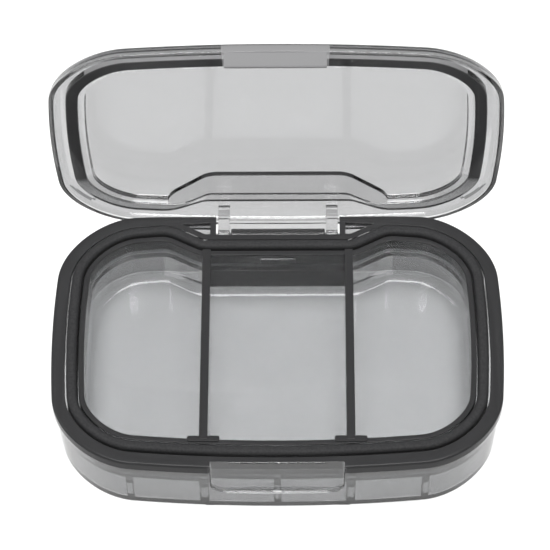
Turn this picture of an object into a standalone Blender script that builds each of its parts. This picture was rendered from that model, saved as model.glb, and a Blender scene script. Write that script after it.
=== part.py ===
"""Travel pill box with three compartments, its clear lid standing open.

The box is a tinted outer casing, a tinted inner tray pressed into it, a black seal ring in the groove
between the two, two dividers that hook over the tray's edge, and a lid that turns on a steel pin.
Metres, +Z up, +Y towards the hinge. The origin is the middle of the underside.
"""

import math

import bmesh
import bpy
from mathutils import Vector

# Driving dimensions of the casing.
WIDTH = 0.0900
DEPTH = 0.0608
HEIGHT = 0.0175
CORNER_RADIUS = 0.0149
BOW_OF_LONG_SIDES = 0.0029
BOW_OF_SHORT_SIDES = 0.0020
CORNER_STEPS = 8
FLOOR = 0.0012
WALL = 0.0015
GAP = 0.0003

# The groove that holds the seal, as distances in from the outer edge.
GROOVE_OUTER = 0.0027
GROOVE_INNER = 0.0054
GROOVE_DEPTH = 0.0046
FLANGE = 0.0018
TRAY_INNER = 0.0065
SEAL_RISE = 0.0008

# The step in the groove that makes room for the hinge, along the groove's outer wall.
STEP_OUTER_X = 0.0218
STEP_INNER_X = 0.0149
STEP_Y = 0.0233

# The hinge.
HINGE_Y = 0.0271
HINGE_Z = 0.0130
EAR_INNER_X = 0.0126
EAR_OUTER_X = 0.0138
BARREL_HALF = 0.0096
BARREL_RADIUS = 0.0016
KNUCKLE_RADIUS = 0.0021
PIN_RADIUS = 0.0006
PIN_HOLE_RADIUS = 0.0009
WINDOW_SILL = 0.0086
REAR_EDGE_RADIUS = 0.0030

# The lid, in its closed position.
LID_INSET = 0.0001
LID_HEIGHT = 0.0034
LID_WALL = 0.0010
LID_PANEL = 0.0010
LID_EDGE_RADIUS = 0.0024
LIP_OUTER = 0.0034
LIP_INNER = 0.0058
LIP_STEP_OUTER_X = 0.0196
LIP_STEP_INNER_X = 0.0142
LIP_STEP_Y = 0.0200
PAD_EDGE_X = 0.0141
PAD_EDGE_Y = 0.0135
PAD_END_X = 0.0227
PAD_END_Y = 0.0212
OPEN_ANGLE = math.radians(88.5)

# The latch at the front.
RECESS_HALF = 0.0132
RECESS_Y = -0.0287
RECESS_BOTTOM = 0.0062
RECESS_CORNER = 0.0032
LATCH_HALF = 0.0098
CATCH_HALF = 0.0095

# The dividers.
DIVIDER_X = 0.0144
DIVIDER_THICKNESS = 0.0017
DIVIDER_HEAD_HALF = 0.0032
TRAY_FLOOR_TOP = 0.0044
TRAY_FLOOR = 0.0012


def clear_scene():
    for obj in list(bpy.data.objects):
        bpy.data.objects.remove(obj, do_unlink=True)


def plastic(name, colour, roughness, alpha=1.0, metallic=0.0):
    material = bpy.data.materials.new(name)
    material.use_nodes = True
    shader = material.node_tree.nodes["Principled BSDF"]
    shader.inputs["Base Color"].default_value = (*colour, 1.0)
    shader.inputs["Roughness"].default_value = roughness
    shader.inputs["Metallic"].default_value = metallic
    shader.inputs["Alpha"].default_value = alpha
    return material


def bowed(x, y):
    """A point of the plain rounded rectangle, moved so that each side bows outwards in its middle."""
    across, along = x / (WIDTH / 2), y / (DEPTH / 2)
    return Vector((
        x - BOW_OF_SHORT_SIDES * along ** 2 * across,
        y - BOW_OF_LONG_SIDES * across ** 2 * along,
    ))


def rim_outline():
    """The outer edge of the rim, anticlockwise from the right end of the back side."""
    centre_x, centre_y = WIDTH / 2 - CORNER_RADIUS, DEPTH / 2 - CORNER_RADIUS
    half_side = [STEP_OUTER_X, LIP_STEP_OUTER_X, 0.011]
    long_side = half_side + [0.0] + [-x for x in reversed(half_side)]
    short_side = [0.006, 0.0, -0.006]
    points = []
    for corner, (sign_x, sign_y) in enumerate([(1, 1), (-1, 1), (-1, -1), (1, -1)]):
        for step in range(CORNER_STEPS + 1):
            angle = math.radians(90 * (corner + step / CORNER_STEPS))
            x = sign_x * centre_x + CORNER_RADIUS * math.cos(angle)
            y = sign_y * centre_y + CORNER_RADIUS * math.sin(angle)
            points.append(bowed(x, y))
        if corner % 2 == 0:
            points += [bowed(sign_x * x, sign_y * DEPTH / 2) for x in long_side]
        else:
            points += [bowed(sign_x * WIDTH / 2, sign_y * y) for y in short_side]
    return points


def inset(points, distance):
    """The same loop with every edge moved inwards by distance."""
    moved = []
    for index, point in enumerate(points):
        before = (point - points[index - 1]).normalized()
        after = (points[(index + 1) % len(points)] - point).normalized()
        normal_before = Vector((-before.y, before.x))
        normal_after = Vector((-after.y, after.x))
        reach = distance / (1 + normal_before.dot(normal_after))
        moved.append(point + (normal_before + normal_after) * reach)
    return moved


RIM = rim_outline()
RIGHT_STEP = CORNER_STEPS + 1
LEFT_STEP = RIGHT_STEP + 6


def stepped(distance):
    """The loop at that distance in from the rim's edge, with the step round the hinge."""
    groove = inset(RIM, GROOVE_OUTER)
    step = [Vector((STEP_INNER_X, STEP_Y)), Vector((-STEP_INNER_X, STEP_Y))]
    return inset(groove[:RIGHT_STEP + 1] + step + groove[LEFT_STEP:], distance - GROOVE_OUTER)


def lip_inside(distance):
    """The inner face of the lid's lip. Its step is deeper than the groove's, so the lip is thick there."""
    loop = inset(RIM, distance)
    step = [Vector((LIP_STEP_INNER_X, LIP_STEP_Y)), Vector((-LIP_STEP_INNER_X, LIP_STEP_Y))]
    right, left = [loop[RIGHT_STEP + 1]], [loop[LEFT_STEP - 1]]
    return loop[:RIGHT_STEP] + right + step + left + loop[LEFT_STEP + 1:]


def rim_y(x):
    """How far out the front and back edges of the rim are at x."""
    return DEPTH / 2 - BOW_OF_LONG_SIDES * (x / (WIDTH / 2)) ** 2


def finish(mesh_maker, name, material=None, smooth=True):
    """An object from a bmesh, its faces turned outwards. Without a material it is a cutter or an addition."""
    bmesh.ops.recalc_face_normals(mesh_maker, faces=mesh_maker.faces)
    mesh = bpy.data.meshes.new(name)
    mesh_maker.to_mesh(mesh)
    mesh_maker.free()
    obj = bpy.data.objects.new(name, mesh)
    bpy.context.scene.collection.objects.link(obj)
    if smooth:
        mesh.shade_smooth()
        mesh.set_sharp_from_angle(angle=math.radians(30))
    if material:
        mesh.materials.append(material)
    else:
        obj.hide_render = True
        obj.display_type = "WIRE"
    return obj


def loft(name, profile, loop_at, material=None, ring=False):
    """A solid through the loops loop_at(distance) at each height of the profile. A ring joins its last loop
    to its first, and any other solid closes each end with a flat face."""
    maker = bmesh.new()
    loops = []
    for distance, height in profile:
        loops.append([maker.verts.new((p.x, p.y, height)) for p in loop_at(distance)])
    pairs = list(zip(loops, loops[1:]))
    if ring:
        pairs.append((loops[-1], loops[0]))
    else:
        maker.faces.new(loops[0])
        maker.faces.new(loops[-1])
    for low, high in pairs:
        for index in range(len(low)):
            after = (index + 1) % len(low)
            maker.faces.new((low[index], low[after], high[after], high[index]))
    return finish(maker, name, material)


def prism(name, outline, start, end, axis, material=None):
    """A solid with that outline, from start to end along axis. The outline is (y, z) along X, (x, z) along Y
    and (x, y) along Z."""
    maker = bmesh.new()
    faces = []
    for along in (start, end):
        corners = [list(point) for point in outline]
        for corner in corners:
            corner.insert("XYZ".index(axis), along)
        faces.append([maker.verts.new(corner) for corner in corners])
        maker.faces.new(faces[-1])
    for index in range(len(outline)):
        after = (index + 1) % len(outline)
        maker.faces.new((faces[0][index], faces[0][after], faces[1][after], faces[1][index]))
    return finish(maker, name, material)


def box(name, low, high, material=None):
    outline = [(low[0], low[1]), (high[0], low[1]), (high[0], high[1]), (low[0], high[1])]
    return prism(name, outline, low[2], high[2], "Z", material)


def arc(centre, radius, start, end, steps):
    """Points on an arc, in degrees."""
    points = []
    for step in range(steps + 1):
        angle = math.radians(start + (end - start) * step / steps)
        points.append((centre[0] + radius * math.cos(angle), centre[1] + radius * math.sin(angle)))
    return points


def rod(name, radius, half_length, material=None, steps=20):
    """A rod on the hinge axis."""
    circle = arc((HINGE_Y, HINGE_Z), radius, 0, 360, steps)[:-1]
    return prism(name, circle, -half_length, half_length, "X", material)


def combine(obj, tool, operation):
    modifier = obj.modifiers.new(tool.name, "BOOLEAN")
    modifier.operation = operation
    modifier.solver = "EXACT"
    modifier.object = tool


def add(obj, *tools):
    for tool in tools:
        combine(obj, tool, "UNION")


def cut(obj, *tools):
    for tool in tools:
        combine(obj, tool, "DIFFERENCE")


def casing_shell(material):
    """Floor, walls and rim. The upper wall is as thick as the rim, down to below the groove."""
    thick_bottom = HEIGHT - GROOVE_DEPTH - FLANGE - GAP
    profile = [
        (0.0022, 0.0),
        (0.0014, 0.0003),
        (0.0011, 0.0010),
        (0.0005, HEIGHT - 0.0026),
        (0.0, HEIGHT - 0.0023),
        (0.0, HEIGHT - 0.0005),
        (0.0001, HEIGHT - 0.0001),
        (0.0005, HEIGHT),
        (GROOVE_OUTER, HEIGHT),
        (GROOVE_OUTER, thick_bottom),
        (0.0006 + WALL, thick_bottom - 0.0006),
        (0.0011 + WALL, FLOOR),
    ]
    return loft("outer_casing", profile, lambda distance: inset(RIM, distance), material)


def hinge_bulkhead():
    """The wall that follows the step in the groove. Its inner face runs on into the casing's wall."""
    run_on = 0.0014
    inner = stepped(GROOVE_OUTER)[RIGHT_STEP:RIGHT_STEP + 4]
    outer = stepped(GROOVE_OUTER - 0.0012)[RIGHT_STEP:RIGHT_STEP + 4]
    inner[0] += (inner[0] - inner[1]).normalized() * run_on
    inner[3] += (inner[3] - inner[2]).normalized() * run_on
    return prism("hinge_bulkhead", inner + outer[::-1], FLOOR - 0.0005, HEIGHT, "Z")


def casing_ears():
    """The two plates that carry the ends of the hinge pin."""
    ears = []
    for side, low, high in (("left", -EAR_OUTER_X, -EAR_INNER_X), ("right", EAR_INNER_X, EAR_OUTER_X)):
        low_corner = (low, STEP_Y + 0.0007, FLOOR - 0.0006)
        ears.append(box(f"ear_{side}", low_corner, (high, 0.0292, HEIGHT - 0.0001)))
    return ears


def casing_ribs():
    """Upright ribs behind the front wall. The two in line with the dividers are thicker."""
    ribs = []
    top = HEIGHT - GROOVE_DEPTH - FLANGE - 0.0006
    for number, (x, thickness) in enumerate([(-0.029, 0.0014), (-DIVIDER_X, 0.0018), (0.0, 0.0014),
                                             (DIVIDER_X, 0.0018), (0.029, 0.0014)]):
        front, back = -rim_y(x) + 0.0018, -rim_y(x) + GROOVE_INNER - GAP
        low = (x - thickness / 2, front, FLOOR - 0.0005)
        ribs.append(box(f"rib_{number}", low, (x + thickness / 2, back, top)))
    return ribs


def recess_outline():
    """The finger recess seen from the front: open at the top, round at its two lower corners."""
    side = RECESS_HALF - RECESS_CORNER
    low = RECESS_BOTTOM + RECESS_CORNER
    right = arc((side, low), RECESS_CORNER, 0, -90, 6)
    left = arc((-side, low), RECESS_CORNER, -90, -180, 6)
    return [(RECESS_HALF, HEIGHT + 0.001)] + right + left + [(-RECESS_HALF, HEIGHT + 0.001)]


def rear_edge_cutter():
    """Rounds the rim's rear edge, so that the lid's rear wall can pass it."""
    centre = (HINGE_Y + 0.0002, HEIGHT - REAR_EDGE_RADIUS + 0.0001)
    edge = arc(centre, REAR_EDGE_RADIUS, 0, 75.2, 6)
    outline = [(DEPTH / 2 + 0.002, centre[1])] + edge
    outline += [(edge[-1][0], HEIGHT + 0.001), (DEPTH / 2 + 0.002, HEIGHT + 0.001)]
    return prism("rear_edge_cutter", outline, -0.041, 0.041, "X")


def make_casing(material):
    casing = casing_shell(material)
    half = EAR_INNER_X + 0.0002
    cut(casing, box("hinge_window", (-half, 0.0250, WINDOW_SILL), (half, 0.0320, 0.0190)))
    backing = box("recess_backing", (-0.0146, -0.0290, FLOOR - 0.0005), (0.0146, -0.0277, HEIGHT - 0.0030))
    web_half = BARREL_HALF - 0.0001
    web_low = (-web_half, STEP_Y + 0.0006, HINGE_Z - 0.0012)
    web = box("barrel_web", web_low, (web_half, HINGE_Y, HINGE_Z + 0.0012))
    add(casing, hinge_bulkhead(), *casing_ears(), web, rod("barrel", BARREL_RADIUS, BARREL_HALF))
    add(casing, backing, *casing_ribs())
    cut(casing, rear_edge_cutter(), rod("casing_pin_hole", PIN_HOLE_RADIUS, 0.020))
    cut(casing, prism("recess_cutter", recess_outline(), -0.033, RECESS_Y, "Y"))
    catch_outline = [(RECESS_Y + 0.0004, HEIGHT - 0.0010), (RECESS_Y + 0.0004, HEIGHT - 0.0002),
                     (RECESS_Y - 0.0003, HEIGHT - 0.0002), (RECESS_Y - 0.0003, HEIGHT - 0.0006)]
    add(casing, prism("catch_ledge", catch_outline, -CATCH_HALF, CATCH_HALF, "X"))
    return casing


def make_tray(material):
    """The compartments' floor and wall. Its flange closes the bottom of the seal's groove."""
    flange_top = HEIGHT - GROOVE_DEPTH
    flange_bottom = flange_top - FLANGE
    underside = TRAY_FLOOR_TOP - TRAY_FLOOR
    profile = [
        (0.0075, underside),
        (0.0066, underside + 0.0002),
        (0.0061, underside + 0.0010),
        (GROOVE_INNER + 0.0001, flange_bottom),
        (GROOVE_OUTER + GAP, flange_bottom),
        (GROOVE_OUTER + GAP, flange_top),
        (GROOVE_INNER, flange_top),
        (GROOVE_INNER, HEIGHT - 0.0002),
        (GROOVE_INNER + 0.0002, HEIGHT),
        (TRAY_INNER - 0.0002, HEIGHT),
        (TRAY_INNER, HEIGHT - 0.0002),
        (TRAY_INNER + 0.0004, TRAY_FLOOR_TOP + 0.0012),
        (TRAY_INNER + 0.0007, TRAY_FLOOR_TOP + 0.0004),
        (TRAY_INNER + 0.0016, TRAY_FLOOR_TOP),
    ]
    tray = loft("inner_tray", profile, stepped, material)
    wall_y = stepped(TRAY_INNER)[RIGHT_STEP + 1].y
    low, high = (-0.0036, wall_y - 0.0004, HEIGHT - 0.0032), (0.0036, wall_y + 0.0005, HEIGHT - 0.0012)
    add(tray, box("centre_pad", low, high))
    return tray


def make_seal(material):
    outer, inner = GROOVE_OUTER + GAP, GROOVE_INNER - GAP
    bottom, top = HEIGHT - GROOVE_DEPTH + GAP, HEIGHT + SEAL_RISE
    profile = [
        (outer, bottom),
        (outer, top - 0.0003),
        (outer + 0.0003, top),
        (inner - 0.0003, top),
        (inner, top - 0.0003),
        (inner, bottom),
    ]
    return loft("seal_ring", profile, stepped, material, ring=True)


def make_divider(name, x, material):
    """An upright plate between the front and back walls, with a hook over the tray's edge at each end."""
    front = -rim_y(DIVIDER_X) + TRAY_INNER
    back = stepped(TRAY_INNER)[RIGHT_STEP + 1].y
    bottom = TRAY_FLOOR_TOP + GAP
    hook_bottom, top = HEIGHT + GAP, HEIGHT + 0.0008
    outline = [
        (front + 0.0030, bottom),
        (back - 0.0030, bottom),
        (back - 0.0013, bottom + 0.0010),
        (back - 0.0007, bottom + 0.0028),
        (back - GAP, HEIGHT - 0.0004),
        (back - GAP, hook_bottom),
        (back + 0.0010, hook_bottom),
        (back + 0.0011, top - 0.0002),
        (back + 0.0009, top),
        (front - 0.0006, top),
        (front - 0.0006, hook_bottom),
        (front + GAP, hook_bottom),
        (front + GAP, HEIGHT - 0.0004),
        (front + 0.0007, bottom + 0.0028),
        (front + 0.0013, bottom + 0.0010),
    ]
    divider = prism(name, outline, x - DIVIDER_THICKNESS / 2, x + DIVIDER_THICKNESS / 2, "X", material)
    head_low = (x - DIVIDER_HEAD_HALF, front - 0.0009, hook_bottom)
    add(divider, box(f"{name}_head", head_low, (x + DIVIDER_HEAD_HALF, front + 0.0004, top - 0.0001)))
    return divider


def lid_shell(material):
    """The lid's panel and outer wall, closed: an edge of quarter-circle section joins them."""
    low, top = HEIGHT + GAP, HEIGHT + LID_HEIGHT
    edge_low = top - LID_EDGE_RADIUS
    profile = [
        (LID_INSET + 0.0026, top - LID_PANEL),
        (LID_INSET + 0.0017, top - LID_PANEL - 0.0003),
        (LID_INSET + LID_WALL + 0.0001, edge_low + 0.0004),
        (LID_INSET + LID_WALL, edge_low - 0.0001),
        (LID_INSET + LID_WALL, low + 0.0002),
        (LID_INSET + LID_WALL - 0.0002, low),
        (LID_INSET + 0.0002, low),
        (LID_INSET, low + 0.0002),
    ]
    for distance, height in arc((0.0, 0.0), LID_EDGE_RADIUS, 0, 90, 5):
        profile.append((LID_INSET + LID_EDGE_RADIUS - distance, edge_low + height))
    return loft("lid", profile, lambda distance: inset(RIM, distance), material)


def lid_lip():
    """The wall inside the lid that presses on the seal."""
    bottom, top = HEIGHT + SEAL_RISE + GAP, HEIGHT + LID_HEIGHT - LID_PANEL / 2
    profile = [(LIP_OUTER, bottom), (LIP_OUTER - 0.0001, top), (LIP_INNER + 0.0001, top), (LIP_INNER, bottom)]
    middle = (LIP_OUTER + LIP_INNER) / 2
    return loft("lid_lip", profile, lambda x: lip_inside(x) if x > middle else stepped(x), ring=True)


def lid_pad():
    """The thicker part of the panel between the hinge and the middle of the lid."""
    lip_y = DEPTH / 2 - LIP_INNER
    half = [(PAD_EDGE_X, PAD_EDGE_Y), (PAD_END_X, PAD_END_Y), (PAD_END_X, lip_y), (LIP_STEP_OUTER_X, lip_y),
            (LIP_STEP_INNER_X, LIP_STEP_Y + 0.0008)]
    outline = half + [(-x, y) for x, y in reversed(half)]
    return prism("lid_pad", outline, HEIGHT + 0.0015, HEIGHT + LID_HEIGHT - LID_PANEL / 2, "Z")


def lid_arms():
    """The two arms that reach down to the hinge pin, each with a round knuckle, and the web between them."""
    outline = arc((HINGE_Y, HINGE_Z), KNUCKLE_RADIUS, 150, 365, 12)
    top = HEIGHT + LID_HEIGHT - 0.0006
    outline += [(0.0295, HINGE_Z + 0.0030), (0.0295, top), (0.0260, top)]
    outline.append((0.0255, HINGE_Z + 0.0030))
    start, end = BARREL_HALF + GAP, EAR_INNER_X - GAP
    half = start + 0.0005
    web = box("hinge_web", (-half, 0.0289, HINGE_Z + 0.0021), (half, 0.0297, HEIGHT + 0.0009))
    return [prism("arm_left", outline, -end, -start, "X"), prism("arm_right", outline, start, end, "X"), web]


def lid_latch():
    """The tongue under the lid's front wall, with a low rib that snaps under the casing's catch."""
    outline = [(-0.0301, HEIGHT + 0.0012), (-0.0301, HEIGHT - 0.0028), (-0.0299, HEIGHT - 0.0030),
               (-0.0295, HEIGHT - 0.0030), (-0.0293, HEIGHT - 0.0028), (-0.0293, HEIGHT - 0.0019),
               (-0.02915, HEIGHT - 0.0016), (-0.0293, HEIGHT - 0.0013), (-0.0293, HEIGHT + 0.0012)]
    return prism("latch_tongue", outline, -LATCH_HALF, LATCH_HALF, "X")


def turn_about_hinge(obj, angle):
    """Moves the object's origin to the hinge axis and turns it about that axis."""
    hinge = Vector((0.0, HINGE_Y, HINGE_Z))
    for vertex in obj.data.vertices:
        vertex.co -= hinge
    obj.location = hinge
    obj.rotation_euler.x = angle


def make_lid(material):
    lid = lid_shell(material)
    additions = [lid_lip(), lid_pad(), *lid_arms(), lid_latch()]
    hole = rod("lid_pin_hole", PIN_HOLE_RADIUS, 0.020)
    add(lid, *additions)
    cut(lid, hole)
    for obj in (lid, hole, *additions):
        turn_about_hinge(obj, -OPEN_ANGLE)
    return lid


def main():
    clear_scene()
    smoke = plastic("smoke_plastic", (0.10, 0.10, 0.11), 0.12, alpha=0.6)
    clear = plastic("clear_plastic", (0.55, 0.56, 0.57), 0.08, alpha=0.35)
    make_casing(smoke)
    make_tray(smoke)
    make_seal(plastic("black_silicone", (0.020, 0.020, 0.022), 0.55))
    make_divider("divider_left", -DIVIDER_X, smoke)
    make_divider("divider_right", DIVIDER_X, smoke)
    make_lid(clear)
    steel = plastic("pin_steel", (0.55, 0.55, 0.56), 0.3, metallic=1.0)
    rod("hinge_pin", PIN_RADIUS, EAR_OUTER_X - GAP, steel, steps=16)


main()
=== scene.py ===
"""Looks of the travel pill box: fine see-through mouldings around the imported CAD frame, floor, light, camera.

Metres, +Z up, +Y towards the hinge. The lid is drawn shut and then turned about the hinge to its rest pose.
"""

import math

import bmesh
import bpy
from mathutils import Matrix, Vector


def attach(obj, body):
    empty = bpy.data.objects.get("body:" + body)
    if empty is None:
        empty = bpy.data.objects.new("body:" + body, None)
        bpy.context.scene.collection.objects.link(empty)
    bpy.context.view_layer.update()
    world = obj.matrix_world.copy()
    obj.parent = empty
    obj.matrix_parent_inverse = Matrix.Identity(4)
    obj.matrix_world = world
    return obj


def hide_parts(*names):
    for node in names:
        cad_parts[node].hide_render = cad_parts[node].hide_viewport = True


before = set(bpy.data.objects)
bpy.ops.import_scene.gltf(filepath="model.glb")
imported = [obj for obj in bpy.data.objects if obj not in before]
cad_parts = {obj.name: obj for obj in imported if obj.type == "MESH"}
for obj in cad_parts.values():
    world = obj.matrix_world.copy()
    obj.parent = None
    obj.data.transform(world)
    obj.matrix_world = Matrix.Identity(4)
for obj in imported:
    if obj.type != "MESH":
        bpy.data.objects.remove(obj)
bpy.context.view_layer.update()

# Dimensions of the moulded parts, as in the CAD.
WIDTH, DEPTH, HEIGHT = 0.0900, 0.0608, 0.0175
CORNER_RADIUS = 0.0149
BOW_OF_LONG_SIDES, BOW_OF_SHORT_SIDES = 0.0029, 0.0020
FLOOR, WALL, GAP = 0.0012, 0.0015, 0.0003
GROOVE_OUTER, GROOVE_INNER, GROOVE_DEPTH, FLANGE = 0.0027, 0.0054, 0.0046, 0.0018
TRAY_INNER, TRAY_FLOOR_TOP, TRAY_FLOOR = 0.0065, 0.0044, 0.0012
SEAL_RISE = 0.0008
STEP_OUTER_X, STEP_INNER_X, STEP_Y = 0.0218, 0.0149, 0.0233
HINGE_Y, HINGE_Z = 0.0271, 0.0130
EAR_INNER_X, EAR_OUTER_X = 0.0126, 0.0138
BARREL_HALF, BARREL_RADIUS = 0.0096, 0.0016
KNUCKLE_RADIUS, PIN_RADIUS, PIN_HOLE_RADIUS = 0.0021, 0.0006, 0.0009
WINDOW_SILL, REAR_EDGE_RADIUS = 0.0086, 0.0030
LID_INSET, LID_HEIGHT, LID_WALL, LID_PANEL = 0.0001, 0.0034, 0.0010, 0.0010
LID_EDGE_RADIUS, LIP_OUTER, LIP_INNER = 0.0024, 0.0034, 0.0058
LIP_STEP_OUTER_X, LIP_STEP_INNER_X, LIP_STEP_Y = 0.0196, 0.0142, 0.0200
PAD_EDGE_X, PAD_EDGE_Y, PAD_END_X, PAD_END_Y = 0.0141, 0.0135, 0.0227, 0.0212
OPEN_ANGLE = math.radians(88.5)
RECESS_HALF, RECESS_Y, RECESS_BOTTOM, RECESS_CORNER = 0.0132, -0.0287, 0.0062, 0.0032
LATCH_HALF, CATCH_HALF = 0.0098, 0.0095
DIVIDER_X, DIVIDER_THICKNESS, DIVIDER_HEAD_HALF = 0.0144, 0.0017, 0.0032

# Fineness of the meshes.
CORNER_STEPS = 28
SIDE_STEPS = 24
FILLET_STEPS = 8
BEND_STEPS = 8

# The back side of a stepped loop holds a plain stretch, two bends, the middle, two bends and a plain stretch.
PLAIN_POINTS = 5
MIDDLE_POINTS = 3
LONG_STEPS = 2 * PLAIN_POINTS + 4 * (BEND_STEPS + 1) + MIDDLE_POINTS + 1

# What the shade stored on a face means: see clear_moulding. Its dark value is painted shade, and its highest
# value a nearly opaque pale grey.
COLOURLESS, TINTED, PAINTED_SHADE, PALE_OPAQUE = 0.0, 0.5, 1.0, 2.0


# ---------------------------------------------------------------- outlines

def bowed(x, y):
    """A point of the plain rounded rectangle, moved so that each side bows outwards in its middle."""
    across, along = x / (WIDTH / 2), y / (DEPTH / 2)
    return Vector((
        x - BOW_OF_SHORT_SIDES * along ** 2 * across,
        y - BOW_OF_LONG_SIDES * across ** 2 * along,
    ))


def between(start, end, steps):
    """Evenly spaced numbers strictly between start and end."""
    return [start + (end - start) * step / steps for step in range(1, steps)]


def rim_outline():
    """The outer edge of the rim, anticlockwise: four corners, each followed by the side after it."""
    centre_x, centre_y = WIDTH / 2 - CORNER_RADIUS, DEPTH / 2 - CORNER_RADIUS
    points = []
    for corner, (sign_x, sign_y) in enumerate([(1, 1), (-1, 1), (-1, -1), (1, -1)]):
        for step in range(CORNER_STEPS + 1):
            angle = math.radians(90 * (corner + step / CORNER_STEPS))
            x = sign_x * centre_x + CORNER_RADIUS * math.cos(angle)
            y = sign_y * centre_y + CORNER_RADIUS * math.sin(angle)
            points.append(bowed(x, y))
        if corner % 2 == 0:
            long_side = between(centre_x, -centre_x, LONG_STEPS)
            points += [bowed(sign_x * x, sign_y * DEPTH / 2) for x in long_side]
        else:
            short_side = between(centre_y, -centre_y, SIDE_STEPS)
            points += [bowed(sign_x * WIDTH / 2, sign_y * y) for y in short_side]
    return points


def inset(points, distance):
    """The same loop with every edge moved inwards by distance."""
    moved = []
    for index, point in enumerate(points):
        before = (point - points[index - 1]).normalized()
        after = (points[(index + 1) % len(points)] - point).normalized()
        normal_before = Vector((-before.y, before.x))
        normal_after = Vector((-after.y, after.x))
        reach = distance / (1 + normal_before.dot(normal_after))
        moved.append(point + (normal_before + normal_after) * reach)
    return moved


RIM = rim_outline()
BACK_FIRST = CORNER_STEPS + 1
BACK_LAST = BACK_FIRST + LONG_STEPS - 2
OUTER_BEND, INNER_BEND = 0.0085, 0.0022


def plain(distance):
    return inset(RIM, distance)


def fillet(corner, before, after, radius, steps=BEND_STEPS):
    """Points of an arc of that radius that rounds a corner between two directions."""
    turn = before.angle(after)
    run = radius * math.tan(turn / 2)
    start, end = corner - before * run, corner + after * run
    side = 1 if before.x * after.y - before.y * after.x > 0 else -1
    normal = Vector((-before.y, before.x)) * side
    centre = start + normal * radius
    points = []
    for step in range(steps + 1):
        angle = turn * step / steps
        points.append(centre - normal * radius * math.cos(angle) + before * radius * math.sin(angle))
    return points, start, end


def with_step(distance, wall, outer_x, inner_x, step_y):
    """The loop at that distance in from the rim's edge, with a rounded step at the back. The step is given
    for the loop at the distance wall, by its two corners, and moves inwards with the rest of the loop."""
    loop = plain(distance)
    right = loop[BACK_FIRST - 1:BACK_LAST + 2]
    offset = distance - wall
    corner_y = y_at(plain(wall)[BACK_FIRST - 1:BACK_LAST + 2], outer_x)
    slope = (Vector((inner_x, step_y)) - Vector((outer_x, corner_y))).normalized()
    normal = Vector((-slope.y, slope.x))
    anchor = Vector((inner_x, step_y)) + normal * offset
    middle_y = step_y - offset
    inner = anchor + slope * ((middle_y - anchor.y) / slope.y)
    low, high = inner.x, 0.030
    for _ in range(40):
        middle = (low + high) / 2
        on_line = anchor.y + slope.y / slope.x * (middle - anchor.x)
        if on_line < y_at(right, middle):
            low = middle
        else:
            high = middle
    outer = Vector((low, y_at(right, low)))
    arriving = Vector((-0.002, y_at(right, low) - y_at(right, low + 0.002))).normalized()
    outer_bend, first, _ = fillet(outer, arriving, slope, max(OUTER_BEND - offset, 0.0008))
    inner_bend, _, _ = fillet(inner, slope, Vector((-1, 0)), max(INNER_BEND + offset, 0.0004))
    start = right[0]
    stretch = []
    for step in range(1, PLAIN_POINTS + 1):
        x = start.x + (first.x - start.x) * step / (PLAIN_POINTS + 1)
        stretch.append(Vector((x, y_at(right, x))))
    half = stretch + outer_bend + inner_bend
    mirrored = [Vector((-point.x, point.y)) for point in reversed(half)]
    last = half[-1].x
    middle = [Vector((x, middle_y)) for x in between(last, -last, MIDDLE_POINTS + 1)]
    return loop[:BACK_FIRST] + half + middle + mirrored + loop[BACK_LAST + 1:]


def stepped(distance):
    """The step of the groove, the tray, the seal and the outside of the lid's lip."""
    return with_step(distance, GROOVE_OUTER, STEP_OUTER_X, STEP_INNER_X, STEP_Y)


def lip_inside(distance):
    """The deeper step of the inside of the lid's lip."""
    return with_step(distance, LIP_INNER, LIP_STEP_OUTER_X, LIP_STEP_INNER_X, LIP_STEP_Y)


def y_at(points, x):
    """The y of a polyline that runs from high x to low x."""
    for here, there in zip(points, points[1:]):
        if there.x <= x <= here.x:
            return here.y + (there.y - here.y) * (x - here.x) / (there.x - here.x)
    return points[0].y if x > points[0].x else points[-1].y


def rim_y(x):
    """How far out the front and back edges of the rim are at x."""
    return DEPTH / 2 - BOW_OF_LONG_SIDES * (x / (WIDTH / 2)) ** 2


def rounded(corners, steps=FILLET_STEPS):
    """A profile through (a, b, radius) corners, each rounded by its radius where it has one."""
    points = []
    for index, (a, b, radius) in enumerate(corners):
        here = Vector((a, b))
        if radius == 0:
            points.append(here)
            continue
        before = (here - Vector(corners[index - 1][:2])).normalized()
        after = (Vector(corners[(index + 1) % len(corners)][:2]) - here).normalized()
        points += fillet(here, before, after, radius, steps)[0]
    return [(point.x, point.y) for point in points]


# ---------------------------------------------------------------- meshes

def finish_mesh(maker, name):
    bmesh.ops.recalc_face_normals(maker, faces=maker.faces)
    mesh = bpy.data.meshes.new(name)
    maker.to_mesh(mesh)
    maker.free()
    obj = bpy.data.objects.new(name, mesh)
    bpy.context.scene.collection.objects.link(obj)
    return obj


def skinned(name, loops, ring=False):
    """A solid through loops of points, closed at both ends or, as a ring, from the last loop to the first."""
    maker = bmesh.new()
    loops = [[maker.verts.new(point) for point in loop] for loop in loops]
    pairs = list(zip(loops, loops[1:]))
    if ring:
        pairs.append((loops[-1], loops[0]))
    else:
        maker.faces.new(loops[0])
        maker.faces.new(loops[-1])
    for low, high in pairs:
        for index in range(len(low)):
            after = (index + 1) % len(low)
            maker.faces.new((low[index], low[after], high[after], high[index]))
    return finish_mesh(maker, name)


def loft(name, profile, ring=False):
    """A solid through one loop per profile row (distance, height, loop function)."""
    loops = [[(p.x, p.y, height) for p in loop_at(distance)] for distance, height, loop_at in profile]
    return skinned(name, loops, ring)


def along(profile, loop_at):
    return [(distance, height, loop_at) for distance, height in profile]


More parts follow.
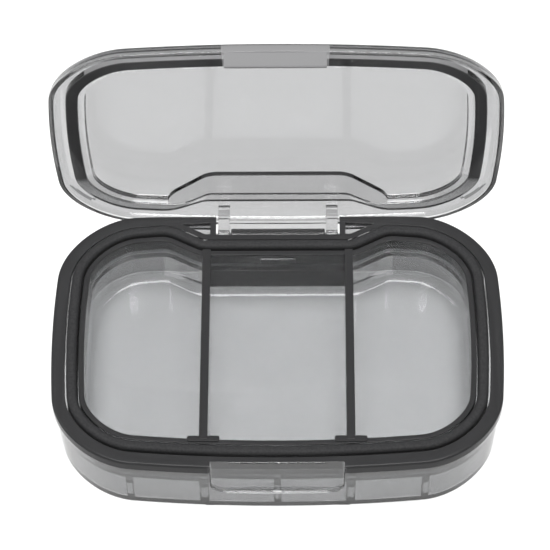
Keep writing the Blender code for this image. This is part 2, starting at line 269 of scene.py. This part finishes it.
def prism(name, outline, start, end, axis, bevel=0.0, bevel_steps=3):
    """A solid with that outline, from start to end along axis, its end edges rounded by bevel."""
    rows = [(start, 0.0), (end, 0.0)]
    if bevel:
        direction = 1 if end > start else -1
        first = []
        for step in range(bevel_steps, -1, -1):
            angle = math.pi / 2 * step / bevel_steps
            position = start + direction * bevel * (1 - math.sin(angle))
            first.append((position, bevel * (1 - math.cos(angle))))
        rows = first + [(start + end - position, shrink) for position, shrink in reversed(first)]
    loop = [Vector(point) for point in outline]
    area = sum(a.x * b.y - b.x * a.y for a, b in zip(loop, loop[1:] + loop[:1]))
    if area < 0:
        loop.reverse()
    loops = []
    for position, shrink in rows:
        ring = [[point.x, point.y] for point in (inset(loop, shrink) if shrink else loop)]
        for corner in ring:
            corner.insert("XYZ".index(axis), position)
        loops.append(ring)
    return skinned(name, loops)


def rounded_outline(low, high, radius, steps=4):
    corners = [(low[0], low[1]), (high[0], low[1]), (high[0], high[1]), (low[0], high[1])]
    if not radius:
        return corners
    return rounded([(a, b, radius) for a, b in corners], steps)


def box(name, low, high, corner=0.0, bevel=0.0):
    """A box whose upright edges have the radius corner, and its top and bottom edges the radius bevel."""
    outline = rounded_outline(low[:2], high[:2], corner)
    return prism(name, outline, low[2], high[2], "Z", bevel)


def arc(centre, radius, start, end, steps):
    """Points on an arc, in degrees."""
    points = []
    for step in range(steps + 1):
        angle = math.radians(start + (end - start) * step / steps)
        points.append((centre[0] + radius * math.cos(angle), centre[1] + radius * math.sin(angle)))
    return points


def rod(name, radius, half_length, steps=48, bevel=0.0):
    """A rod on the hinge axis."""
    circle = arc((HINGE_Y, HINGE_Z), radius, 0, 360, steps)[:-1]
    return prism(name, circle, -half_length, half_length, "X", bevel)


def combined(obj, operation, tools):
    """obj with the tools added or cut, as one plain mesh. The solver loses small fillets unless it works in
    millimetres."""
    for part in (obj, *tools):
        part.data.transform(Matrix.Scale(1000.0, 4))
    for tool in tools:
        modifier = obj.modifiers.new(tool.name, "BOOLEAN")
        modifier.operation = operation
        modifier.solver = "EXACT"
        modifier.object = tool
    bpy.context.view_layer.update()
    graph = bpy.context.evaluated_depsgraph_get()
    mesh = bpy.data.meshes.new_from_object(obj.evaluated_get(graph))
    mesh.transform(Matrix.Scale(0.001, 4))
    obj.modifiers.clear()
    old, obj.data = obj.data, mesh
    bpy.data.meshes.remove(old)
    for tool in tools:
        data = tool.data
        bpy.data.objects.remove(tool, do_unlink=True)
        bpy.data.meshes.remove(data)
    return obj


def add(obj, *tools):
    return combined(obj, "UNION", tools)


def cut(obj, *tools):
    return combined(obj, "DIFFERENCE", tools)


def polish(obj, material, sharp_angle=24):
    """Smooth shading that keeps flat faces flat and edges crisp."""
    mesh = obj.data
    mesh.shade_smooth()
    mesh.set_sharp_from_angle(angle=math.radians(sharp_angle))
    mesh.materials.clear()
    mesh.materials.append(material)
    weighted = obj.modifiers.new("even_shading", "WEIGHTED_NORMAL")
    weighted.keep_sharp = True
    weighted.mode = "FACE_AREA_WITH_ANGLE"
    weighted.weight = 80
    return obj


def darken(obj, shade_at):
    """Stores a shade value on each face from its centre and normal: the plastic's own tint, painted shade or a
    pale grey.
    """
    mesh = obj.data
    values = mesh.attributes.new("shade", "FLOAT", "FACE").data
    for face in mesh.polygons:
        values[face.index].value = shade_at(face.center, face.normal)


def off_axis(centre):
    """How far a point is from the hinge axis."""
    return math.hypot(centre.y - HINGE_Y, centre.z - HINGE_Z)


def edge_distance(centre):
    """How far in from the rim's outer edge a point is, seen from above."""
    return min((point - centre.xy).length for point in RIM)


def ramp(value, start, end):
    """0 at start, 1 at end."""
    return min(max((value - start) / (end - start), 0.0), 1.0)


# ---------------------------------------------------------------- the mouldings

# The painted shade behind the hinge goes this far down, and the pockets beside the ears end at this x.
HINGE_SHADOW, POCKET_X = 0.0095, 0.0235


def casing_shell():
    thick_bottom = HEIGHT - GROOVE_DEPTH - FLANGE - GAP
    corners = [
        (0.0040, 0.0, 0),
        (0.0012, 0.0, 0.0010),
        (0.0005, HEIGHT - 0.0026, 0.00015),
        (0.0, HEIGHT - 0.0023, 0.00015),
        (0.0, HEIGHT, 0.0005),
        (GROOVE_OUTER, HEIGHT, 0.00018),
        (GROOVE_OUTER, thick_bottom, 0.0004),
        (0.0006 + WALL, thick_bottom - 0.0006, 0.0004),
        (0.0011 + WALL, FLOOR, 0.0008),
        (0.0060, FLOOR, 0),
    ]
    return loft("casing_moulding", along(rounded(corners, 5), plain))


def hinge_bulkhead():
    """The wall that follows the step in the groove. Its ends run on into the rim."""
    first, last = BACK_FIRST + PLAIN_POINTS - 2, BACK_LAST - PLAIN_POINTS + 2
    inner = stepped(GROOVE_OUTER + 0.00001)[first:last + 1]
    outer = stepped(GROOVE_OUTER - 0.0012)[first:last + 1]
    inner[0], inner[-1] = inner[0] + Vector((0.0, 0.0006)), inner[-1] + Vector((0.0, 0.0006))
    return prism("hinge_bulkhead", inner + outer[::-1], FLOOR - 0.0005, HEIGHT - 0.00001, "Z")


def casing_ears():
    ears = []
    for side, low, high in (("left", -EAR_OUTER_X, -EAR_INNER_X), ("right", EAR_INNER_X, EAR_OUTER_X)):
        outline = rounded_outline((STEP_Y + 0.0007, FLOOR - 0.0006), (0.0292, HEIGHT - 0.00002), 0)
        ears.append(prism(f"ear_{side}", outline, low, high, "X", 0.0))
    return ears


def casing_ribs():
    ribs = []
    for number, (x, thickness) in enumerate([(-0.029, 0.0014), (-DIVIDER_X, 0.0018), (0.0, 0.0014),
                                             (DIVIDER_X, 0.0018), (0.029, 0.0014)]):
        front, back = -rim_y(x) + 0.0018, -rim_y(x) + GROOVE_INNER - GAP
        low = (x - thickness / 2, front, FLOOR - 0.0005)
        high = (x + thickness / 2, back, HEIGHT - GROOVE_DEPTH - FLANGE - 0.0006)
        ribs.append(box(f"rib_{number}", low, high, 0.0004, 0.0002))
    return ribs


def recess_outline(grow=0.0):
    """The finger recess seen from the front: open at the top, round at its two lower corners."""
    side = RECESS_HALF - RECESS_CORNER
    low = RECESS_BOTTOM + RECESS_CORNER
    right = arc((side, low), RECESS_CORNER + grow, 0, -90, 14)
    left = arc((-side, low), RECESS_CORNER + grow, -90, -180, 14)
    top = HEIGHT + 0.001
    return [(RECESS_HALF + grow, top)] + right + left + [(-RECESS_HALF - grow, top)]


def recess_cutter():
    """Cuts the recess, with a flared edge so that its border is rounded, and a small fillet inside."""
    flare, start, reach, inner_fillet = 0.0007, -0.0312, 0.0013, 0.0005
    rows = [(start - 0.002, flare)]
    for step in range(7):
        angle = math.pi / 2 * step / 6
        rows.append((start + reach * math.sin(angle), flare * math.cos(angle)))
    rows.append((RECESS_Y - inner_fillet, 0.0))
    for angle in [math.pi / 2 * step / 5 for step in range(1, 6)]:
        rows.append((RECESS_Y - inner_fillet * (1 - math.sin(angle)), -inner_fillet * (1 - math.cos(angle))))
    return skinned("recess_cutter", [[(x, y, z) for x, z in recess_outline(grow)] for y, grow in rows])


def rear_edge_cutter():
    """Rounds the rim's rear edge, so that the lid's rear wall can pass it."""
    centre = (HINGE_Y + 0.0002, HEIGHT - REAR_EDGE_RADIUS + 0.0001)
    edge = arc(centre, REAR_EDGE_RADIUS, 0, 75.2, 18)
    outline = [(DEPTH / 2 + 0.002, centre[1])] + edge
    outline += [(edge[-1][0], HEIGHT + 0.001), (DEPTH / 2 + 0.002, HEIGHT + 0.001)]
    return prism("rear_edge_cutter", outline, -0.041, 0.041, "X")


def casing_shade(centre, normal):
    """Painted shade darkens the rim, the hinge barrel, the wall behind it and the finger recess. The pockets
    beside the ears keep little tint, so that they look light.
    """
    # Painted shade: the hinge barrel is darkened.
    if off_axis(centre) < BARREL_RADIUS + 0.0001 and abs(centre.x) < BARREL_HALF:
        return 0.93
    # Painted shade in the finger recess: its walls darker, its upward faces less.
    if centre.y < RECESS_Y + 0.0001 and abs(centre.x) < CATCH_HALF and centre.z < HEIGHT - 0.0001:
        return 0.8 if normal.z < 0.5 else 0.35
    edge = edge_distance(centre)
    if edge > 0.0015:
        reach = abs(centre.x)
        # Painted shade on the wall behind the hinge.
        if centre.y > STEP_Y - 0.003 and reach < EAR_OUTER_X and centre.z > HEIGHT - HINGE_SHADOW:
            return PAINTED_SHADE
        # The pockets beside the ears keep little tint, so that they look light.
        if centre.y > STEP_Y - 0.004 and EAR_OUTER_X < reach < POCKET_X and normal.z < 0.5:
            return 0.1
    # Painted shade: the top of the rim is dark and nearly opaque.
    if centre.z > HEIGHT - 0.0025:
        return PAINTED_SHADE
    if edge > 0.0014:
        return TINTED
    return COLOURLESS if centre.z < 0.0012 else 0.8


def make_casing(material):
    casing = casing_shell()
    half = EAR_INNER_X + 0.0002
    cut(casing, box("hinge_window", (-half, 0.0250, WINDOW_SILL), (half, 0.0320, 0.0190)))
    backing_low, backing_high = (-0.0146, -0.0290, FLOOR - 0.0005), (0.0146, -0.0277, HEIGHT - 0.0030)
    backing = box("recess_backing", backing_low, backing_high, 0.0005)
    web_half = BARREL_HALF - 0.0001
    web_low = (-web_half, STEP_Y + 0.0006, HINGE_Z - 0.0012)
    web = box("barrel_web", web_low, (web_half, HINGE_Y, HINGE_Z + 0.0012))
    barrel = rod("barrel", BARREL_RADIUS, BARREL_HALF + 0.00002, bevel=0.0002)
    add(casing, hinge_bulkhead(), *casing_ears(), web, barrel)
    add(casing, backing, *casing_ribs())
    cut(casing, rear_edge_cutter(), rod("casing_pin_hole", PIN_HOLE_RADIUS, 0.020, 32))
    cut(casing, recess_cutter())
    y = RECESS_Y
    catch = rounded([(y + 0.0004, HEIGHT - 0.0011, 0), (y + 0.0004, HEIGHT - 0.0002, 0),
                     (y - 0.0003, HEIGHT - 0.0002, 0.00018), (y - 0.0003, HEIGHT - 0.0006, 0.00018)], 3)
    add(casing, prism("catch_ledge", catch, -CATCH_HALF, CATCH_HALF, "X", 0.0001))
    darken(casing, casing_shade)
    return polish(casing, material)


def make_tray(material):
    flange_top = HEIGHT - GROOVE_DEPTH
    flange_bottom = flange_top - FLANGE
    underside = TRAY_FLOOR_TOP - TRAY_FLOOR
    corners = [
        (0.0110, underside, 0),
        (0.0060, underside, 0.0012),
        (GROOVE_INNER + 0.0001, flange_bottom, 0.0003),
        (GROOVE_OUTER + GAP, flange_bottom, 0.0002),
        (GROOVE_OUTER + GAP, flange_top, 0.0001),
        (GROOVE_INNER, flange_top, 0.0002),
        (GROOVE_INNER, HEIGHT, 0.0002),
        (TRAY_INNER, HEIGHT, 0.0002),
        (TRAY_INNER + 0.0005, TRAY_FLOOR_TOP, 0.0012),
        (0.0110, TRAY_FLOOR_TOP, 0),
    ]
    tray = loft("tray_moulding", along(rounded(corners, 7), stepped))
    wall_y = STEP_Y - (TRAY_INNER - GROOVE_OUTER)
    pad_low = (-0.0036, wall_y - 0.0004, HEIGHT - 0.0032)
    pad_high = (0.0036, wall_y + 0.0005, HEIGHT - 0.0012)
    add(tray, box("centre_pad", pad_low, pad_high, 0.0003, 0.00015))
    # Painted shade on the tray's top edge; the rest keeps the plastic's own tint.
    darken(tray, lambda centre, _normal: PAINTED_SHADE if centre.z > HEIGHT - 0.0003 else TINTED)
    return polish(tray, material)


def make_seal(material):
    outer, inner = GROOVE_OUTER + GAP, GROOVE_INNER - GAP
    bottom, top = HEIGHT - GROOVE_DEPTH + GAP, HEIGHT + SEAL_RISE
    corners = [(outer, bottom, 0.0002), (outer, top, 0.0008), (inner, top, 0.0008), (inner, bottom, 0.0002)]
    return polish(loft("seal_moulding", along(rounded(corners, 6), stepped), ring=True), material, 60)


def make_divider(name, x, material):
    """An upright plate between the front and back walls, with a hook over the tray's edge at each end."""
    front = -rim_y(DIVIDER_X) + TRAY_INNER
    back = STEP_Y - (TRAY_INNER - GROOVE_OUTER)
    bottom = TRAY_FLOOR_TOP + GAP
    hook_bottom, top = HEIGHT + GAP, HEIGHT + 0.0008
    outline = rounded([
        (front + 0.0010, bottom, 0.0022),
        (back - 0.0010, bottom, 0.0022),
        (back - GAP, HEIGHT - 0.0004, 0),
        (back - GAP, hook_bottom, 0.0002),
        (back + 0.0010, hook_bottom, 0.00015),
        (back + 0.0010, top, 0.00025),
        (front - 0.0006, top, 0.00025),
        (front - 0.0006, hook_bottom, 0.00015),
        (front + GAP, hook_bottom, 0.0002),
        (front + GAP, HEIGHT - 0.0004, 0),
    ], 6)
    divider = prism(name, outline, x - DIVIDER_THICKNESS / 2, x + DIVIDER_THICKNESS / 2, "X", 0.00012)
    head_low = (x - DIVIDER_HEAD_HALF, front - 0.0009, hook_bottom)
    head_high = (x + DIVIDER_HEAD_HALF, front + 0.0004, top - 0.0001)
    add(divider, box(f"{name}_head", head_low, head_high, 0.0004, 0.00015))
    # Painted shade on the tops of the plates and their hooks; the rest keeps the plastic's own tint.
    darken(divider, lambda centre, _normal: PAINTED_SHADE if centre.z > HEIGHT else TINTED)
    return polish(divider, material)


def lid_solid():
    """Panel, outer wall and the lip that presses on the seal, in one loft."""
    low, top = HEIGHT + GAP, HEIGHT + LID_HEIGHT
    under = top - LID_PANEL
    lip_bottom, lip_middle = HEIGHT + SEAL_RISE + GAP, (LIP_INNER + LIP_OUTER) / 2
    ledge = LIP_INNER + 0.0014
    inside = rounded([
        (0.0100, under, 0),
        (ledge, under, 0.0003),
        (ledge, lip_bottom + 0.0006, 0.0003),
        (LIP_INNER, lip_bottom + 0.0004, 0.0001),
        (LIP_INNER, lip_bottom, 0.0001),
        (lip_middle, lip_bottom, 0),
    ], 5)
    outside = rounded([
        (lip_middle, lip_bottom, 0),
        (LIP_OUTER, lip_bottom, 0.0002),
        (LIP_OUTER, under, 0),
    ], 6)
    wall = rounded([
        (0.00335, under, 0),
        (LID_INSET + LID_WALL, under, 0.0012),
        (LID_INSET + LID_WALL, low, 0.0002),
        (LID_INSET, low, 0.0002),
        (LID_INSET, top, LID_EDGE_RADIUS),
        (0.0060, top, 0),
    ], 9)
    lip = along(inside[:-1], lip_inside) + along(outside[1:], stepped)
    return loft("lid_moulding", lip + along(wall, plain))


def lid_pad():
    """The thicker part of the panel between the hinge and the middle of the lid."""
    lip_y = DEPTH / 2 - LIP_INNER
    outline = rounded([
        (PAD_EDGE_X, PAD_EDGE_Y, 0.0050), (PAD_END_X, PAD_END_Y, 0.0060), (PAD_END_X, lip_y, 0),
        (LIP_STEP_OUTER_X, lip_y, 0), (LIP_STEP_INNER_X, LIP_STEP_Y + 0.0008, 0),
        (-LIP_STEP_INNER_X, LIP_STEP_Y + 0.0008, 0), (-LIP_STEP_OUTER_X, lip_y, 0), (-PAD_END_X, lip_y, 0),
        (-PAD_END_X, PAD_END_Y, 0.0060), (-PAD_EDGE_X, PAD_EDGE_Y, 0.0050),
    ])
    low, high = HEIGHT + 0.0015, HEIGHT + LID_HEIGHT - LID_PANEL / 2
    return prism("lid_pad", outline, low, high, "Z", 0.0002)


def lid_arms():
    outline = arc((HINGE_Y, HINGE_Z), KNUCKLE_RADIUS, 150, 365, 30)
    top = HEIGHT + LID_HEIGHT - 0.0006
    outline += [(0.0295, HINGE_Z + 0.0030), (0.0295, top), (0.0260, top)]
    outline.append((0.0255, HINGE_Z + 0.0030))
    start, end = BARREL_HALF + GAP, EAR_INNER_X - GAP
    half = start + 0.0005
    web = box("hinge_web", (-half, 0.0289, HINGE_Z + 0.0021), (half, 0.0297, HEIGHT + 0.0009), 0.0, 0.0002)
    arms = [(-end, -start), (start, end)]
    return [prism("arm", outline, low, high, "X", 0.0002) for low, high in arms] + [web]


def lid_latch():
    outline = [(-0.0301, HEIGHT + 0.0012), (-0.0301, HEIGHT - 0.0028), (-0.0299, HEIGHT - 0.0030),
               (-0.0295, HEIGHT - 0.0030), (-0.0293, HEIGHT - 0.0028), (-0.0293, HEIGHT - 0.0019),
               (-0.02915, HEIGHT - 0.0016), (-0.0293, HEIGHT - 0.0013), (-0.0293, HEIGHT + 0.0012)]
    return prism("latch_tongue", outline, -LATCH_HALF, LATCH_HALF, "X", 0.0001)


def lid_shade(centre, normal):
    """The lid's own tint is on its outside, and the latch is a pale, nearly opaque grey. Painted shade darkens
    its lip's free edge, except towards the hinge, and the pad's edge, and lies lightly on the pad's underside.
    Painted light lifts the lip's outer face at the front to a mid grey."""
    height, reach = centre.z - HEIGHT, abs(centre.x)
    if off_axis(centre) < 0.0075 and reach < EAR_INNER_X and height < 0.0012:
        return 0.3
    edge = edge_distance(centre)
    # The latch is a pale, nearly opaque grey.
    if reach < LATCH_HALF + 0.0001 and centre.y < 0 and edge < LIP_INNER + 0.0002 and height < 0.0022:
        return PALE_OPAQUE
    if edge < LID_INSET + LID_WALL + 0.0002:
        return TINTED if normal.z > 0.05 else (0.2 if centre.y < 0 else 0.1)
    # Painted shade on the lip's free edge, fading out towards the hinge.
    if edge < LIP_INNER + 0.0002 and height < SEAL_RISE + GAP + 0.00015:
        return TINTED + (PAINTED_SHADE - TINTED) * ramp(centre.y, 0.021, 0.014)
    # Painted light: a mid grey on the lip's outer face at the front, where it would look black.
    if edge < LIP_OUTER + 0.0003 and centre.y < -0.0215 and normal.y < -0.5:
        return 1.6
    # Painted shade on the pad's edge, fading at its ends.
    if height > 0.0013 and normal.y < -0.3 and PAD_EDGE_Y - 0.0005 < centre.y < PAD_END_Y + 0.002:
        return TINTED + (PAINTED_SHADE - TINTED) * ramp(reach, 0.0215, 0.0175)
    # A light painted shade on the pad's underside.
    if height < 0.0017 and abs(normal.z) > 0.9 and PAD_EDGE_Y < centre.y < 0.0215:
        return 0.2
    return TINTED if normal.z > 0.05 and height > LID_HEIGHT - LID_EDGE_RADIUS else COLOURLESS


def make_lid(material):
    lid = add(lid_solid(), lid_pad(), *lid_arms(), lid_latch())
    cut(lid, rod("lid_pin_hole", PIN_HOLE_RADIUS, 0.020, 32))
    darken(lid, lid_shade)
    hinge = Matrix.Translation((0.0, HINGE_Y, HINGE_Z))
    lid.data.transform(hinge @ Matrix.Rotation(-OPEN_ANGLE, 4, "X") @ hinge.inverted())
    return polish(lid, material)


# ---------------------------------------------------------------- materials

SMOKE, PALE_SMOKE, CLEAR = (0.52, 0.524, 0.528), (0.62, 0.62, 0.625), (0.225, 0.227, 0.23)
# The dark colour is painted shade. The pale grey lies on the latch, and between the two it is painted light on
# the lid's lip.
PAINTED_SHADE_COLOUR, PALE_OPAQUE_GREY = (0.034, 0.034, 0.035), (0.235, 0.235, 0.238)
ABSORPTION = 40.0


def link(tree, source, target):
    tree.links.new(source, target)


def clear_moulding(name, surface, roughness, gloss):
    """See-through plastic: refracting surface, absorption inside, and lamps let through. By the moulding's
    shade value the surface is colourless, tinted with its own colour, painted shade that is dark and nearly
    opaque, or a pale, nearly opaque grey, which between dark and pale is painted light on the lid's lip."""
    material = bpy.data.materials.new(name)
    material.use_nodes = True
    tree = material.node_tree
    nodes = tree.nodes
    shader = nodes["Principled BSDF"]
    output = nodes["Material Output"]
    shade = nodes.new("ShaderNodeAttribute")
    shade.attribute_name = "shade"
    halved = nodes.new("ShaderNodeMath")
    halved.operation = "MULTIPLY"
    halved.inputs[1].default_value = 1 / PALE_OPAQUE
    link(tree, shade.outputs["Fac"], halved.inputs[0])
    colour = nodes.new("ShaderNodeValToRGB")
    stops = colour.color_ramp.elements
    stops[0].position, stops[0].color = COLOURLESS / PALE_OPAQUE, (1, 1, 1, 1)
    stops[1].position, stops[1].color = PALE_OPAQUE / PALE_OPAQUE, (*PALE_OPAQUE_GREY, 1)
    stops.new(TINTED / PALE_OPAQUE).color = (*surface, 1)
    stops.new(PAINTED_SHADE / PALE_OPAQUE).color = (*PAINTED_SHADE_COLOUR, 1)
    link(tree, halved.outputs["Value"], colour.inputs["Fac"])
    link(tree, colour.outputs["Color"], shader.inputs["Base Color"])
    body = nodes.new("ShaderNodeMapRange")
    body.inputs["From Min"].default_value = 0.9
    body.inputs["To Min"].default_value = 1.0
    body.inputs["To Max"].default_value = 0.1
    link(tree, shade.outputs["Fac"], body.inputs["Value"])
    link(tree, body.outputs["Result"], shader.inputs["Transmission Weight"])
    shader.inputs["Specular IOR Level"].default_value = gloss
    shader.inputs["IOR"].default_value = 1.5
    where = nodes.new("ShaderNodeTexCoord")
    haze = nodes.new("ShaderNodeTexNoise")
    haze.inputs["Scale"].default_value = 90.0
    haze.inputs["Detail"].default_value = 4.0
    link(tree, where.outputs["Object"], haze.inputs["Vector"])
    spread = nodes.new("ShaderNodeMapRange")
    spread.inputs["From Min"].default_value = 0.3
    spread.inputs["From Max"].default_value = 0.7
    spread.inputs["To Min"].default_value = roughness * 0.6
    spread.inputs["To Max"].default_value = roughness * 1.4
    link(tree, haze.outputs["Fac"], spread.inputs["Value"])
    link(tree, spread.outputs["Result"], shader.inputs["Roughness"])
    wave = nodes.new("ShaderNodeTexNoise")
    wave.inputs["Scale"].default_value = 60.0
    wave.inputs["Detail"].default_value = 1.0
    link(tree, where.outputs["Object"], wave.inputs["Vector"])
    bump = nodes.new("ShaderNodeBump")
    bump.inputs["Strength"].default_value = 0.25
    bump.inputs["Distance"].default_value = 0.00010
    link(tree, wave.outputs["Fac"], bump.inputs["Height"])
    link(tree, bump.outputs["Normal"], shader.inputs["Normal"])
    absorb = nodes.new("ShaderNodeVolumeAbsorption")
    absorb.inputs["Color"].default_value = (0, 0, 0, 1)
    absorb.inputs["Density"].default_value = ABSORPTION
    link(tree, absorb.outputs["Volume"], output.inputs["Volume"])
    rays = nodes.new("ShaderNodeLightPath")
    through = nodes.new("ShaderNodeBsdfTransparent")
    through.inputs["Color"].default_value = (1, 1, 1, 1)
    mix = nodes.new("ShaderNodeMixShader")
    link(tree, rays.outputs["Is Shadow Ray"], mix.inputs["Fac"])
    link(tree, shader.outputs["BSDF"], mix.inputs[1])
    link(tree, through.outputs["BSDF"], mix.inputs[2])
    link(tree, mix.outputs["Shader"], output.inputs["Surface"])
    return material


def silicone(name):
    material = bpy.data.materials.new(name)
    material.use_nodes = True
    tree = material.node_tree
    nodes = tree.nodes
    shader = nodes["Principled BSDF"]
    where = nodes.new("ShaderNodeTexCoord")
    grain = nodes.new("ShaderNodeTexNoise")
    grain.inputs["Scale"].default_value = 2500.0
    grain.inputs["Detail"].default_value = 3.0
    link(tree, where.outputs["Object"], grain.inputs["Vector"])
    colour = nodes.new("ShaderNodeValToRGB")
    colour.color_ramp.elements[0].position = 0.35
    colour.color_ramp.elements[0].color = (0.024, 0.024, 0.025, 1)
    colour.color_ramp.elements[1].position = 0.65
    colour.color_ramp.elements[1].color = (0.034, 0.034, 0.035, 1)
    link(tree, grain.outputs["Fac"], colour.inputs["Fac"])
    link(tree, colour.outputs["Color"], shader.inputs["Base Color"])
    dust = nodes.new("ShaderNodeMapRange")
    shader.inputs["Specular IOR Level"].default_value = 0.1
    dust.inputs["To Min"].default_value = 0.50
    dust.inputs["To Max"].default_value = 0.70
    link(tree, grain.outputs["Fac"], dust.inputs["Value"])
    link(tree, dust.outputs["Result"], shader.inputs["Roughness"])
    bump = nodes.new("ShaderNodeBump")
    bump.inputs["Strength"].default_value = 0.3
    bump.inputs["Distance"].default_value = 0.00002
    link(tree, grain.outputs["Fac"], bump.inputs["Height"])
    link(tree, bump.outputs["Normal"], shader.inputs["Normal"])
    return material


def wire(name):
    material = bpy.data.materials.new(name)
    material.use_nodes = True
    tree = material.node_tree
    nodes = tree.nodes
    shader = nodes["Principled BSDF"]
    shader.inputs["Metallic"].default_value = 1.0
    where = nodes.new("ShaderNodeTexCoord")
    stretch = nodes.new("ShaderNodeMapping")
    stretch.inputs["Scale"].default_value = (200, 4000, 4000)
    link(tree, where.outputs["Object"], stretch.inputs["Vector"])
    drawn = nodes.new("ShaderNodeTexNoise")
    drawn.inputs["Scale"].default_value = 1.0
    link(tree, stretch.outputs["Vector"], drawn.inputs["Vector"])
    colour = nodes.new("ShaderNodeValToRGB")
    colour.color_ramp.elements[0].color = (0.42, 0.42, 0.43, 1)
    colour.color_ramp.elements[1].color = (0.62, 0.62, 0.63, 1)
    link(tree, drawn.outputs["Fac"], colour.inputs["Fac"])
    link(tree, colour.outputs["Color"], shader.inputs["Base Color"])
    shader.inputs["Roughness"].default_value = 0.28
    return material


# ---------------------------------------------------------------- build

casing_plastic = clear_moulding("casing_plastic", SMOKE, 0.05, 0.05)
tray_plastic = clear_moulding("tray_plastic", SMOKE, 0.06, 0.05)
divider_plastic = clear_moulding("divider_plastic", PALE_SMOKE, 0.05, 0.05)
lid_plastic = clear_moulding("lid_plastic", CLEAR, 0.06, 0.2)
rubber = silicone("seal_silicone")

casing = make_casing(casing_plastic)
tray = make_tray(tray_plastic)
seal = make_seal(rubber)
left_plate = make_divider("divider_left_plate", -DIVIDER_X, divider_plastic)
right_plate = make_divider("divider_right_plate", DIVIDER_X, divider_plastic)
pin = polish(rod("pin_wire", PIN_RADIUS, EAR_OUTER_X - GAP, 32, 0.0001), wire("pin_wire_steel"))

pieces = [
    (casing, "base", "outer_casing", "smoke_plastic"),
    (tray, "base", "inner_tray", "smoke_plastic"),
    (seal, "base", "seal_ring", "black_silicone"),
    (left_plate, "base", "divider_left", "smoke_plastic"),
    (right_plate, "base", "divider_right", "smoke_plastic"),
    (pin, "base", "hinge_pin", "pin_steel"),
    (make_lid(lid_plastic), "lid", "lid", "clear_plastic"),
]
for piece, body, node, slot in pieces:
    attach(piece, body)
    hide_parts(node)


# ---------------------------------------------------------------- stage, light, camera

def make_floor():
    maker = bmesh.new()
    half = 3.0
    corners = [(-half, -half), (half, -half), (half, half), (-half, half)]
    maker.faces.new([maker.verts.new((x, y, -0.0002)) for x, y in corners])
    floor = finish_mesh(maker, "floor")
    material = bpy.data.materials.new("floor_paper")
    material.use_nodes = True
    shader = material.node_tree.nodes["Principled BSDF"]
    shader.inputs["Base Color"].default_value = (0.90, 0.90, 0.90, 1)
    shader.inputs["Roughness"].default_value = 0.9
    shader.inputs["Specular IOR Level"].default_value = 0.0
    floor.data.materials.append(material)


def softbox(name, place, target, size, power):
    data = bpy.data.lights.new(name, "AREA")
    data.shape = "RECTANGLE"
    data.size, data.size_y = size
    data.energy = power
    lamp = bpy.data.objects.new(name, data)
    bpy.context.scene.collection.objects.link(lamp)
    lamp.location = place
    lamp.rotation_euler = (Vector(target) - Vector(place)).to_track_quat("-Z", "Y").to_euler()


def make_world():
    world = bpy.data.worlds.new("studio")
    bpy.context.scene.world = world
    world.use_nodes = True
    background = world.node_tree.nodes["Background"]
    background.inputs["Color"].default_value = (1.0, 1.0, 1.0, 1)
    background.inputs["Strength"].default_value = 0.15


def make_camera():
    """Looks down at the box from the front, as the photograph does."""
    elevation, distance = math.radians(56.557), 0.58718
    yaw, roll = math.radians(-1.032), math.radians(1.034)
    target = Vector((-0.000533, 0.014610, 0.0175))
    across = Vector((math.cos(yaw), -math.sin(yaw), 0.0))
    away = Vector((math.sin(yaw), math.cos(yaw), 0.0))
    up = away * math.sin(elevation) + Vector((0, 0, math.cos(elevation)))
    forward = away * math.cos(elevation) - Vector((0, 0, math.sin(elevation)))
    right = across * math.cos(roll) - up * math.sin(roll)
    top = across * math.sin(roll) + up * math.cos(roll)
    data = bpy.data.cameras.new("camera")
    data.lens = 190.27
    data.sensor_width = 36.0
    data.clip_start, data.clip_end = 0.05, 20.0
    camera = bpy.data.objects.new("camera", data)
    bpy.context.scene.collection.objects.link(camera)
    place = Matrix.Translation(target - forward * distance)
    camera.matrix_world = place @ Matrix((right, top, -forward)).transposed().to_4x4()
    bpy.context.scene.camera = camera


make_floor()
make_world()
softbox("softbox_top", (0.0, -0.10, 1.0), (0, 0, 0), (0.7, 0.7), 15.0)
softbox("softbox_left", (-0.9, 0.1, 0.7), (0, 0, 0), (0.5, 0.7), 2.5)
make_camera()
bpy.context.scene.view_settings.view_transform = "Standard"
